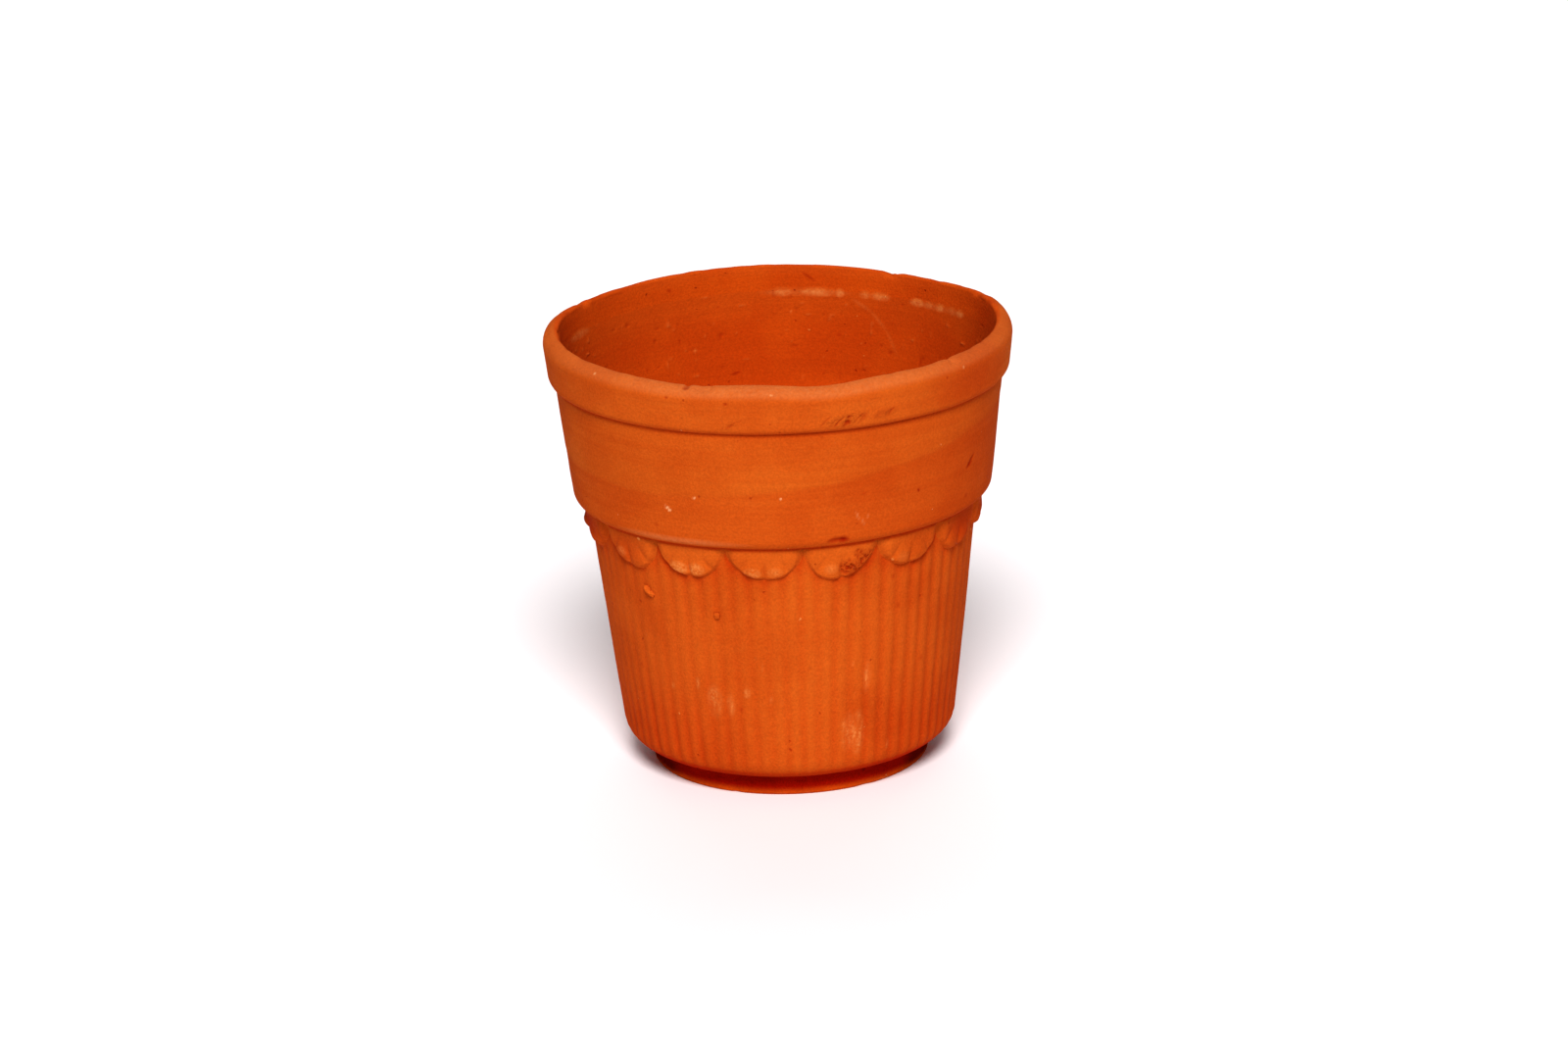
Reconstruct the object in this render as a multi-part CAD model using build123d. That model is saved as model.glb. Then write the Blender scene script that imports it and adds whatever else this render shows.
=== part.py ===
from build123d import *
import math
import os

# A footed terracotta cup, made of clay sections that are luted one on another.
# Origin at the middle of the foot's resting face, +Z up, front towards -Y.

# Foot and floor, in millimetres
foot_height = 4.9            # table to the underside of the heel
foot_radius = 30.2           # outside of the foot ring
foot_bore = 21.0             # inside radius of the foot ring
foot_round = 0.7             # rounding of the foot ring's lower edges
recess_depth = 2.0           # table to the underside of the floor
floor_ledge = 2.0            # how far the floor rests on the foot ring
floor_thickness = 5.3        # floor above the foot ring
floor_round = 7.0            # hollow between the floor and the wall inside

# Fluted wall
wall_height = 54.5           # underside of the heel to the shoulder
wall_base_radius = 36.4      # outside radius where the heel ends
wall_lean = 6.7              # outward lean in degrees
wall_thickness = 4.5
heel_round = 5.5
flute_count = 70
flute_depth = 0.4
flute_cutter_radius = 1.25
flute_crest_angle = 1.75     # a crest's turn from the front, in degrees
flute_end_gap = 0.5          # plain clay between a flute's end and the scallop above it

# Collar
collar_height = 26.9         # shoulder to the seat of the lip band
collar_overhang = 3.2        # how far the collar stands out over the wall
collar_lean = 6.25
collar_wall = 3.0            # thickness at the top of the collar
mouth_lean = 9.8             # outward lean of the inside, from the throat to the lip
collar_round = 2.4           # rounding of the collar's lower edge
collar_throat = 11.0         # height in which the inside opens out above the wall

# Lip band
band_height = 10.7           # seat of the band to the crest of the lip
band_overhang = 1.4          # how far the band stands out over the collar
band_lean = 6.9
band_round = 1.8             # rounding of the band's lower edge
lip_outer_round = 2.35
lip_inner_round = 1.1
lip_seam_drop = 5.4          # crest of the lip to the seam inside the mouth

# Luted seams
wall_tongue_height = 3.0     # tongue on the wall that the collar sits over
lute_gap = 0.1               # slip between a tongue and its rebate

# Scallops pressed on under the shoulder
scallop_count = 16
scallop_cusp_angle = 5.0     # the first cusp's turn from the front, in degrees
scallop_drop = 6.8           # shoulder to the lowest point of a scallop
scallop_cusp_drop = 1.6      # shoulder to the cusp between two scallops
scallop_relief = 1.4         # how far a scallop stands out from the wall at the shoulder
scallop_edge_relief = 0.9    # the same at its lowest point
scallop_gap = 0.3            # space between two neighbours
lobe_angles = (-38.0, 0.0, 38.0)   # grooves between the lobes, from straight down
lobe_groove_radius = 0.7
lobe_groove_depth = 0.5

# Levels and radii that follow from the sizes above
shoulder_z = foot_height + wall_height
band_z = shoulder_z + collar_height
crest_z = band_z + band_height
floor_z = foot_height + floor_thickness
wall_angle = math.radians(wall_lean)
mouth_angle = math.radians(mouth_lean)
collar_angle = math.radians(collar_lean)
band_angle = math.radians(band_lean)
heel_end_z = foot_height + heel_round * (1 - math.sin(wall_angle))


def wall_radius(z):
    return wall_base_radius + (z - heel_end_z) * math.tan(wall_angle)


def wall_inner_radius(z):
    return wall_radius(z) - wall_thickness / math.cos(wall_angle)


shoulder_radius = wall_radius(shoulder_z)
collar_start_z = shoulder_z + collar_round * (1 - math.sin(collar_angle))


def collar_radius(z):
    return shoulder_radius + collar_overhang + (z - collar_start_z) * math.tan(collar_angle)


collar_top_radius = collar_radius(band_z)


def mouth_radius(z):
    return collar_top_radius - collar_wall + (z - band_z) * math.tan(mouth_angle)


band_start_z = band_z + band_round * (1 - math.sin(band_angle))


def band_radius(z):
    return collar_top_radius + band_overhang + (z - band_start_z) * math.tan(band_angle)


floor_flange_radius = foot_bore + floor_ledge
wall_bore = floor_flange_radius + lute_gap
wall_tongue_radius = shoulder_radius - wall_thickness / 2
collar_tongue_radius = collar_top_radius - collar_wall / 2
wall_top_z = shoulder_z + wall_tongue_height
lip_seam_z = crest_z - lip_seam_drop
scallop_half_width = shoulder_radius * math.sin(math.pi / scallop_count) - scallop_gap / 2
scallop_low_z = shoulder_z - scallop_drop
scallop_sag = scallop_drop - scallop_cusp_drop
scallop_edge_radius = (scallop_half_width**2 + scallop_sag**2) / (2 * scallop_sag)
scallop_centre_z = scallop_low_z + scallop_edge_radius


def revolved(edges):
    # Turns a closed half section, drawn as (radius, height), about the cup's axis
    return revolve(Plane.XZ * make_face(edges), Axis.Z)


def foot_ring():
    ring = revolved([
        Polyline(
            (foot_bore, 0),
            (foot_radius, 0),
            (foot_radius, foot_height),
            (foot_bore, foot_height),
            close=True,
        )
    ])
    lower_edges = ring.edges().group_by(Axis.Z)[0]
    return fillet(lower_edges, foot_round)


def floor_disc():
    boss_radius = foot_bore - lute_gap
    return revolved([
        Polyline(
            (0, recess_depth),
            (boss_radius, recess_depth),
            (boss_radius, foot_height),
            (floor_flange_radius, foot_height),
            (floor_flange_radius, floor_z),
            (0, floor_z),
            close=True,
        )
    ])


def plain_wall():
    heel_centre = (wall_base_radius - heel_round * math.cos(wall_angle), foot_height + heel_round)
    hollow_end_z = floor_z + floor_round * (1 - math.sin(wall_angle))
    hollow_centre_radius = wall_inner_radius(hollow_end_z) - floor_round * math.cos(wall_angle)
    heel = CenterArc(heel_centre, heel_round, -90, 90 - wall_lean)
    hollow = CenterArc((hollow_centre_radius, floor_z + floor_round), floor_round, -90, 90 - wall_lean)
    outside = Polyline(
        heel @ 1,
        (shoulder_radius, shoulder_z),
        (wall_tongue_radius, shoulder_z),
        (wall_tongue_radius, wall_top_z),
        (wall_inner_radius(wall_top_z), wall_top_z),
        hollow @ 1,
    )
    underside = Polyline(
        hollow @ 0,
        (wall_bore, floor_z),
        (wall_bore, foot_height),
        heel @ 0,
    )
    return revolved([heel, outside, hollow, underside])


def scallop_edge_z(turn):
    # Height of the scallops' lower edge at a turn from the front, in degrees
    pitch = 360 / scallop_count
    offset = (turn - scallop_cusp_angle) % pitch - pitch / 2
    across = min(shoulder_radius * math.radians(abs(offset)), scallop_half_width)
    return scallop_centre_z - math.sqrt(scallop_edge_radius**2 - across**2)


def flute_cutter(turn):
    # A round bar laid along the wall's slant, which runs out at the heel
    clear = (flute_cutter_radius - flute_depth) / math.cos(wall_angle)
    top_z = scallop_edge_z(turn) - flute_end_gap
    foot_point = Vector(0, -(wall_radius(foot_height) + clear), foot_height)
    top_point = Vector(0, -(wall_radius(top_z) + clear), top_z)
    slant = Plane(foot_point, x_dir=(1, 0, 0), z_dir=top_point - foot_point)
    length = (top_point - foot_point).length
    bar = Cylinder(flute_cutter_radius, length, align=(Align.CENTER, Align.CENTER, Align.MIN))
    return Rot(0, 0, turn) * (slant * bar)


def fluted_wall():
    pitch = 360 / flute_count
    turns = [flute_crest_angle + (index + 0.5) * pitch for index in range(flute_count)]
    return plain_wall() - [flute_cutter(turn) for turn in turns]


def collar():
    edge_centre_radius = collar_radius(collar_start_z) - collar_round * math.cos(collar_angle)
    throat_z = wall_top_z + collar_throat
    throat_reach = collar_throat / 2
    throat_low = (wall_inner_radius(wall_top_z), wall_top_z)
    throat_high = (mouth_radius(throat_z), throat_z)
    edge = CenterArc((edge_centre_radius, shoulder_z + collar_round), collar_round, -90, 90 - collar_lean)
    throat = Bezier(
        throat_high,
        (throat_high[0] - throat_reach * math.tan(mouth_angle), throat_z - throat_reach),
        (throat_low[0] + throat_reach * math.tan(wall_angle), wall_top_z + throat_reach),
        throat_low,
    )
    outside = Polyline(
        edge @ 1,
        (collar_top_radius, band_z),
        (collar_tongue_radius, band_z),
        (collar_tongue_radius, lip_seam_z),
        (mouth_radius(lip_seam_z), lip_seam_z),
        throat_high,
    )
    rebate_radius = wall_tongue_radius + lute_gap
    underside = Polyline(
        throat_low,
        (rebate_radius, wall_top_z),
        (rebate_radius, shoulder_z),
        edge @ 0,
    )
    return revolved([edge, outside, throat, underside])


def lip_band():
    edge_centre_radius = band_radius(band_start_z) - band_round * math.cos(band_angle)
    lip_end_z = crest_z - lip_outer_round * (1 + math.sin(band_angle))
    crest_radius = band_radius(lip_end_z) - lip_outer_round * math.cos(band_angle)
    edge = CenterArc((edge_centre_radius, band_z + band_round), band_round, -90, 90 - band_lean)
    lip_centre = (crest_radius, crest_z - lip_outer_round)
    lip_outside = CenterArc(lip_centre, lip_outer_round, -band_lean, 90 + band_lean)
    lip_inside = CenterArc((crest_radius, crest_z - lip_inner_round), lip_inner_round, 90, 90)
    rebate_radius = collar_tongue_radius + lute_gap
    inside = Polyline(
        lip_inside @ 1,
        (mouth_radius(lip_seam_z), lip_seam_z),
        (rebate_radius, lip_seam_z),
        (rebate_radius, band_z),
        edge @ 0,
    )
    return revolved([edge, Line(edge @ 1, lip_outside @ 0), lip_outside, lip_inside, inside])


def scallop():
    # One fan of lobes at the front, hung from the collar's underside
    left_cusp = (-scallop_half_width, shoulder_z - scallop_cusp_drop)
    right_cusp = (scallop_half_width, shoulder_z - scallop_cusp_drop)
    fan_edge = ThreePointArc(left_cusp, (0, scallop_low_z), right_cusp)
    fan_top = Polyline(
        right_cusp,
        (scallop_half_width, shoulder_z),
        (-scallop_half_width, shoulder_z),
        left_cusp,
    )
    fan = extrude(Plane.XZ * make_face([fan_edge, fan_top]), amount=2 * shoulder_radius)
    shell = revolved([
        Polyline(
            (wall_radius(scallop_low_z) + lute_gap, scallop_low_z),
            (wall_radius(scallop_low_z) + scallop_edge_relief, scallop_low_z),
            (shoulder_radius + scallop_relief, shoulder_z),
            (shoulder_radius + lute_gap, shoulder_z),
            close=True,
        )
    ])
    grooves = []
    clear = lobe_groove_radius - lobe_groove_depth
    hub_radius = shoulder_radius + scallop_relief + clear
    for angle in lobe_angles:
        end_x = scallop_edge_radius * math.sin(math.radians(angle))
        end_z = scallop_centre_z - scallop_edge_radius * math.cos(math.radians(angle))
        end_radius = wall_radius(end_z) + scallop_edge_relief + clear
        start = Vector(0, -hub_radius, scallop_centre_z)
        end = Vector(end_x, -math.sqrt(end_radius**2 - end_x**2), end_z)
        along = end - start
        bar = Cylinder(
            lobe_groove_radius,
            along.length + lobe_groove_radius,
            align=(Align.CENTER, Align.CENTER, Align.MIN),
        )
        grooves.append(Plane(start, x_dir=(0, 1, 0), z_dir=along) * bar)
    return (fan & shell) - grooves


parts = {
    "foot_ring": foot_ring(),
    "floor_disc": floor_disc(),
    "fluted_wall": fluted_wall(),
    "collar": collar(),
    "lip_band": lip_band(),
}
one_scallop = scallop()
for index in range(scallop_count):
    turn = scallop_cusp_angle + (index + 0.5) * 360 / scallop_count
    parts[f"scallop_{index + 1:02d}"] = Rot(0, 0, turn) * one_scallop

os.makedirs("parts", exist_ok=True)
for name, solid in parts.items():
    solid.label = name
    export_step(solid, f"parts/{name}.step")
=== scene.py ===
import math
import bpy
import numpy as np
from mathutils import Matrix, Vector


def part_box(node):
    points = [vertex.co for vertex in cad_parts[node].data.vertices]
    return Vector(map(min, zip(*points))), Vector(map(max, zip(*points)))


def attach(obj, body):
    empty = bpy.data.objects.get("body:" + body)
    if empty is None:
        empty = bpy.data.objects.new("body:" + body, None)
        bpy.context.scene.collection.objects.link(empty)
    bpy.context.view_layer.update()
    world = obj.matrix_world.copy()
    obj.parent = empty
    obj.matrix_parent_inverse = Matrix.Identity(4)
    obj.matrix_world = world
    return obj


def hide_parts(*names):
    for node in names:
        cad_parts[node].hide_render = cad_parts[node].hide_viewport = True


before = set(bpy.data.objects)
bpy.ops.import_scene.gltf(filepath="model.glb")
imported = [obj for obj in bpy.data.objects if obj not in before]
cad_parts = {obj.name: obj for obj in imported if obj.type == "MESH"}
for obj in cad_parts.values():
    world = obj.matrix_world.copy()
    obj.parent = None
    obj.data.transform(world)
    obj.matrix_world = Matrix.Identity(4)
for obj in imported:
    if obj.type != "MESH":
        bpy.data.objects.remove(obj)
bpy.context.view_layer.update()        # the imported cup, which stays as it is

print("frame loaded:", len(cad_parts), "clay sections")

mm = 0.001    # shapes are worked out in millimetres and become metres in the mesh


def levelsOf(node):
    low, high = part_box(node)
    return low.z / mm, high.z / mm


def reachOf(node):
    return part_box(node)[1].x / mm


# Levels and radii of the clay sections
recess, floorTop = levelsOf("floor_disc")
footTop = levelsOf("foot_ring")[1]
shoulder, lipSeam = levelsOf("collar")
wallTop = levelsOf("fluted_wall")[1]
bandSeat, crest = levelsOf("lip_band")
footReach = reachOf("foot_ring")
floorReach = reachOf("floor_disc")
shoulderReach = reachOf("fluted_wall")
collarReach = reachOf("collar")
lipReach = reachOf("lip_band")
scallopNodes = sorted(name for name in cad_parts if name.startswith("scallop_"))

cup = {
    "wallLean": 6.7,          # degrees out from upright
    "wallThickness": 4.5,
    "collarLean": 6.25,
    "collarWall": 3.0,
    "mouthLean": 9.8,
    "throat": 11.0,           # height in which the inside opens out above the wall
    "lipLean": 6.9,
    "outOfRound": 0.14,
    "ovalTurn": 2.7,          # where the oval and the rounded triangle in it point, in radians
    "triangleTurn": 1,
    "waveDepth": 10.0,        # how far down the lip's wave is felt
    "lipWave": (              # turn from the front, rise, half width
        (-26, -0.62, 17), (11, -1.0, 11), (36, -0.2, 14), (105, 0.5, 13), (137, -0.5, 17),
        (190, 0.4, 22), (234, -0.2, 14), (263, 0.5, 14),
    ),
    "shoulderLift": 0.5,      # how far the collar's lower edge sits up
    "shoulderTilt": 0.4,      # share by which it sits higher on the right
    "shoulderFade": 3.5,      # height in which that fades out
    "swell": ((30, 11, 3, 0.09), (8, 3.5, 4, 0.03)),    # degrees and height of a cell, seed, depth
    "crispAngle": 50,         # edges sharper than this stay crisp
}


def slope(degrees):
    return math.tan(math.radians(degrees))


def wallRadius(z):
    return shoulderReach - (shoulder - z) * slope(cup["wallLean"])


def wallInside(z):
    return wallRadius(z) - cup["wallThickness"] / math.cos(math.radians(cup["wallLean"]))


def collarRadius(z):
    return collarReach - (bandSeat - z) * slope(cup["collarLean"])


def mouthRadius(z):
    return collarReach - cup["collarWall"] + (z - bandSeat) * slope(cup["mouthLean"])


# Runs of a half section, as (radius, height) points with both ends

def straightRun(start, end, count):
    share = np.linspace(0, 1, count + 1)[:, None]
    return np.array(start) * (1 - share) + np.array(end) * share


def arcRun(middle, radius, first, last, count):
    angle = np.radians(np.linspace(first, last, count + 1))
    return np.stack([middle[0] + radius * np.cos(angle), middle[1] + radius * np.sin(angle)], 1)


def bezierRun(a, b, c, d, count):
    t = np.linspace(0, 1, count + 1)[:, None]
    a, b, c, d = (np.array(p) for p in (a, b, c, d))
    return a * (1 - t) ** 3 + 3 * b * t * (1 - t) ** 2 + 3 * c * t**2 * (1 - t) + d * t**3


def joinRuns(*runs):
    return np.concatenate([runs[0]] + [run[1:] for run in runs[1:]])


def ease(t):
    t = np.clip(t, 0, 1)
    return t * t * (3 - 2 * t)


def swing(turn, degrees):
    return (turn - math.radians(degrees) + math.pi) % (2 * math.pi) - math.pi


def softNoise(turn, z, cellTurn, cellRise, seed, rows=61, firstRow=7):
    # Smooth random field from -1 to 1 that closes round the cup
    columns = max(3, round(360 / cellTurn))
    table = np.random.default_rng(seed).uniform(-1, 1, (rows, columns))
    u = turn / (2 * math.pi) * columns
    v = z / cellRise + firstRow
    column, row = np.floor(u).astype(int), np.floor(v).astype(int)
    across, up = ease(u - column), ease(v - row)

    def corner(right, above):
        return table[(row + above) % rows, (column + right) % columns]

    low = corner(0, 0) * (1 - across) + corner(1, 0) * across
    high = corner(0, 1) * (1 - across) + corner(1, 1) * across
    return low * (1 - up) + high * up


def markReach(grid, turn, z, across, up, tilt=0):
    # Distance from a mark's middle, 1 at its oval edge
    x = swing(grid["turn"], turn) * grid["r"]
    y = grid["z"] - z
    c, s = math.cos(math.radians(tilt)), math.sin(math.radians(tilt))
    return np.hypot((x * c + y * s) / across, (y * c - x * s) / up)


def hump(reach):
    return np.clip(1 - reach * reach, 0, 1) ** 2


def handShape(turn, r, z):
    # The potter's hand: a little out of round, with a lip that rises and dips
    rise = np.clip(z / crest, 0, 1)
    bend = np.cos(2 * turn - cup["ovalTurn"]) + 0.5 * np.cos(3 * turn - cup["triangleTurn"])
    r = r + cup["outOfRound"] * rise * bend
    lift = cup["shoulderLift"] * (1 + cup["shoulderTilt"] * np.sin(turn))
    lift = lift * np.exp(-(((z - shoulder) / cup["shoulderFade"]) ** 2))
    felt = ease((z - crest + cup["waveDepth"]) / cup["waveDepth"])
    wave = 0
    for at, up, wide in cup["lipWave"]:
        wave = wave + up * np.exp(-(swing(turn, at) / math.radians(wide)) ** 2)
    return r, z + wave * felt + lift


def claySwell(grid):
    # Slow unevenness of thrown clay, the same on every section
    swell = 0
    for cellTurn, cellRise, seed, depth in cup["swell"]:
        swell = swell + depth * softNoise(grid["turn"], grid["z"], cellTurn, cellRise, seed)
    return swell


# Meshes

def meshPiece(name, points, faces, masks, nodes, material):
    mesh = bpy.data.meshes.new(name)
    mesh.from_pydata((points * mm).tolist(), [], faces)
    mesh.shade_smooth()
    mesh.set_sharp_from_angle(angle=math.radians(cup["crispAngle"]))
    for label, values in masks.items():
        layer = mesh.attributes.new(label, "FLOAT", "POINT")
        layer.data.foreach_set("value", np.asarray(values, np.float32).ravel())
    mesh.materials.append(material)
    piece = bpy.data.objects.new(name, mesh)
    bpy.context.scene.collection.objects.link(piece)
    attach(piece, "root")
    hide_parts(*nodes)
    return piece


def gridFaces(rows, columns, ring, loop):
    # Quads between neighbouring rows; ring closes the columns and loop closes the rows
    row = np.arange(rows if loop else rows - 1)
    column = np.arange(columns if ring else columns - 1)
    row, column = (g.ravel() for g in np.meshgrid(row, column, indexing="ij"))
    rowUp, right = (row + 1) % rows, (column + 1) % columns
    low, high = row * columns, rowUp * columns
    return np.stack([low + column, low + right, high + right, high + column], 1).tolist()


maskNames = ("groove", "powder", "stain", "raw", "inside")


def turnedGrid(runs, columns):
    # runs: (points, skin) where skin is 1 outside, -1 inside and 0 where clay meets clay
    outlines = [run for run, side in runs]
    points = np.concatenate(outlines)
    skin = np.concatenate([np.full(len(run), side) for run, side in runs])
    normals = []
    for run in outlines:
        along = np.gradient(run, axis=0) if len(run) > 1 else np.zeros((1, 2))
        length = np.maximum(np.hypot(along[:, 0], along[:, 1]), 1e-9)
        normals.append(np.stack([along[:, 1] / length, -along[:, 0] / length], 1))
    normals = np.concatenate(normals)
    turn = np.linspace(0, 2 * math.pi, columns, endpoint=False)

    def spread(values):
        return np.repeat(np.asarray(values, float)[:, None], columns, 1)

    grid = {"r": spread(points[:, 0]), "z": spread(points[:, 1]), "skin": spread(skin)}
    grid["outR"], grid["outZ"] = spread(normals[:, 0]), spread(normals[:, 1])
    grid["turn"] = np.repeat(turn[None], len(points), 0)
    grid["push"] = np.zeros_like(grid["r"])
    grid["masks"] = {label: np.zeros_like(grid["r"]) for label in maskNames}
    grid["masks"]["inside"][skin < 0] = 1
    return grid


def pressIn(grid, marks, where, field=1.0):
    # marks: turn, height, half width, half height, push, and tilt where it isn't upright
    for turn, z, across, up, push, *tilt in marks:
        shape = hump(markReach(grid, turn, z, across, up, *tilt)) * where
        grid["push"] += push * shape * field


def paintMarks(grid, label, marks, where):
    # marks: the same, with strength in place of push
    layer = grid["masks"][label]
    for turn, z, across, up, strength, *tilt in marks:
        shape = hump(markReach(grid, turn, z, across, up, *tilt)) * where
        np.maximum(layer, strength * np.sqrt(shape), out=layer)


def turnedPiece(name, grid, nodes, material, loop=True):
    r = grid["r"] + grid["push"] * grid["outR"]
    z = grid["z"] + grid["push"] * grid["outZ"]
    r, z = handShape(grid["turn"], r, z)
    points = np.stack([r * np.sin(grid["turn"]), -r * np.cos(grid["turn"]), z], 2)
    rows, columns = r.shape
    points = points.reshape(-1, 3)
    faces = gridFaces(rows, columns, True, loop)
    masks = {label: values.ravel() for label, values in grid["masks"].items()}
    if not loop:
        # Close the middle of a disc, below and above
        last = (rows - 1) * columns
        low, high = len(points), len(points) + 1
        middle = [[0, 0, z[0].mean()], [0, 0, z[-1].mean()]]
        points = np.concatenate([points, middle])
        for label, values in masks.items():
            masks[label] = np.append(values, [values[0], values[last]])
        for column in range(columns):
            right = (column + 1) % columns
            faces.append([low, right, column])
            faces.append([high, last + column, last + right])
    return meshPiece(name, points, faces, masks, nodes, material)


# Shader node helpers

nodeSpace = (220, 260)    # between the nodes in the editor
nodesInRow = 9


def addNode(tree, kind, inputs=None, **settings):
    made = tree.nodes.new(kind)
    line, place = divmod(len(tree.nodes), nodesInRow)
    made.location = (nodeSpace[0] * place, -nodeSpace[1] * line)
    for label, value in settings.items():
        setattr(made, label, value)
    for label, value in (inputs or {}).items():
        if isinstance(value, bpy.types.NodeSocket):
            tree.links.new(value, made.inputs[label])
        else:
            made.inputs[label].default_value = value
    return made


def maths(tree, operation, a, b=0.0, c=0.0, clamp=False):
    inputs = {0: a, 1: b, 2: c}
    return addNode(tree, "ShaderNodeMath", inputs, operation=operation, use_clamp=clamp).outputs[0]


def mixColour(tree, factor, a, b, blend="MIX"):
    inputs = {0: factor, 6: a, 7: b}
    return addNode(tree, "ShaderNodeMix", inputs, data_type="RGBA", blend_type=blend).outputs[2]


def stretch(tree, value, low, high, first=0.0, last=1.0):
    inputs = {"Value": value, "From Min": low, "From Max": high, "To Min": first, "To Max": last}
    return addNode(tree, "ShaderNodeMapRange", inputs, interpolation_type="SMOOTHSTEP").outputs[0]


def newGroup(name, inputs, outputs):
    tree = bpy.data.node_groups.new(name, "ShaderNodeTree")
    for label, value in inputs.items():
        kind = "NodeSocketFloat" if isinstance(value, float) else "NodeSocketColor"
        tree.interface.new_socket(label, in_out="INPUT", socket_type=kind).default_value = value
    for label, kind in outputs.items():
        tree.interface.new_socket(label, in_out="OUTPUT", socket_type=kind)
    return tree, tree.nodes.new("NodeGroupInput").outputs, tree.nodes.new("NodeGroupOutput").inputs


def clayPoint(tree):
    # Place on the cup in millimetres
    place = addNode(tree, "ShaderNodeTexCoord").outputs["Object"]
    inputs = {0: place, "Scale": 1 / mm}
    return addNode(tree, "ShaderNodeVectorMath", inputs, operation="SCALE").outputs[0]


def perSize(tree, size):
    # Texture scale for a feature of this size
    return maths(tree, "DIVIDE", 1.0, size)


def noiseNode(tree, vector, scale, detail=2.0, roughness=0.5):
    inputs = {"Vector": vector, "Scale": scale, "Detail": detail, "Roughness": roughness}
    return addNode(tree, "ShaderNodeTexNoise", inputs).outputs[0]


# Effects that the clay materials share

def makeFiredMottle():
    # Uneven firing colour: broad clouds, small blotches and fine grain
    given = {
        "Body": (0.6, 0.1, 0.02, 1), "Deep": (0.4, 0.05, 0.01, 1), "Pale": (0.7, 0.2, 0.06, 1),
        "Cloud Size": 16.0, "Blotch Size": 2.6, "Strength": 0.5,
    }
    tree, entry, result = newGroup("firedMottle", given, {"Color": "NodeSocketColor"})
    point = clayPoint(tree)
    cloud = noiseNode(tree, point, perSize(tree, entry["Cloud Size"]), 3.0)
    blotch = noiseNode(tree, point, perSize(tree, entry["Blotch Size"]), 4.0, 0.6)
    deepPart = maths(tree, "MULTIPLY", stretch(tree, cloud, 0.62, 0.35), entry["Strength"])
    palePart = maths(tree, "MULTIPLY", stretch(tree, blotch, 0.5, 0.8, 0.0, 0.6), entry["Strength"])
    colour = mixColour(tree, deepPart, entry["Body"], entry["Deep"])
    tree.links.new(mixColour(tree, palePart, colour, entry["Pale"]), result["Color"])
    return tree


def makeClayGrain():
    # Fine sand in the clay, with scattered pits and grains of many sizes
    given = {"Grain Size": 0.5, "Pit Size": 2.2, "Pit Share": 0.2, "Grain Share": 0.03}
    kinds = {label: "NodeSocketFloat" for label in ("Height", "Pits", "Grains", "Sand")}
    tree, entry, result = newGroup("clayGrain", given, kinds)
    point = clayPoint(tree)
    fine = noiseNode(tree, point, perSize(tree, entry["Grain Size"]), 4.0, 0.65)
    # Pits and grains sit in cells that are pushed about, so that none is round
    inputs = {"Vector": point, "Scale": 1.1, "Detail": 2.0}
    wander = addNode(tree, "ShaderNodeTexNoise", inputs).outputs["Color"]
    inputs = {0: wander, 1: (0.9, 0.9, 0.9), 2: point}
    astray = addNode(tree, "ShaderNodeVectorMath", inputs, operation="MULTIPLY_ADD").outputs[0]
    inputs = {"Vector": astray, "Scale": perSize(tree, entry["Pit Size"]), "Randomness": 1.0}
    cells = addNode(tree, "ShaderNodeTexVoronoi", inputs)
    chance = addNode(tree, "ShaderNodeSeparateColor", {0: cells.outputs["Color"]})
    size = maths(tree, "MULTIPLY_ADD", maths(tree, "POWER", chance.outputs[2], 2.0), 0.13, 0.04)
    near = stretch(tree, maths(tree, "DIVIDE", cells.outputs["Distance"], size), 1.3, 0.5)
    chosen = maths(tree, "LESS_THAN", chance.outputs[0], entry["Pit Share"])
    pits = maths(tree, "MULTIPLY", near, chosen)
    picked = maths(tree, "LESS_THAN", chance.outputs[1], entry["Grain Share"])
    notPit = maths(tree, "SUBTRACT", 1.0, chosen)
    grains = maths(tree, "MULTIPLY", maths(tree, "MULTIPLY", near, picked), notPit)
    height = maths(tree, "MULTIPLY_ADD", pits, -1.2, fine)
    tree.links.new(maths(tree, "MULTIPLY_ADD", grains, 0.5, height), result["Height"])
    tree.links.new(pits, result["Pits"])
    tree.links.new(grains, result["Grains"])
    tree.links.new(fine, result["Sand"])
    return tree


def makeWheelMarks():
    # Faint level lines that a wet finger leaves on the turning clay, stretched round the cup
    tree, entry, result = newGroup("wheelMarks", {"Spacing": 1.3}, {"Lines": "NodeSocketFloat"})
    point = addNode(tree, "ShaderNodeSeparateXYZ", {0: clayPoint(tree)})
    level = maths(tree, "DIVIDE", point.outputs[2], entry["Spacing"])
    round1 = maths(tree, "MULTIPLY", point.outputs[0], 0.02)
    round2 = maths(tree, "MULTIPLY", point.outputs[1], 0.02)
    vector = addNode(tree, "ShaderNodeCombineXYZ", {0: round1, 1: round2, 2: level}).outputs[0]
    tree.links.new(noiseNode(tree, vector, 1.0, 3.0, 0.55), result["Lines"])
    return tree


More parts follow.
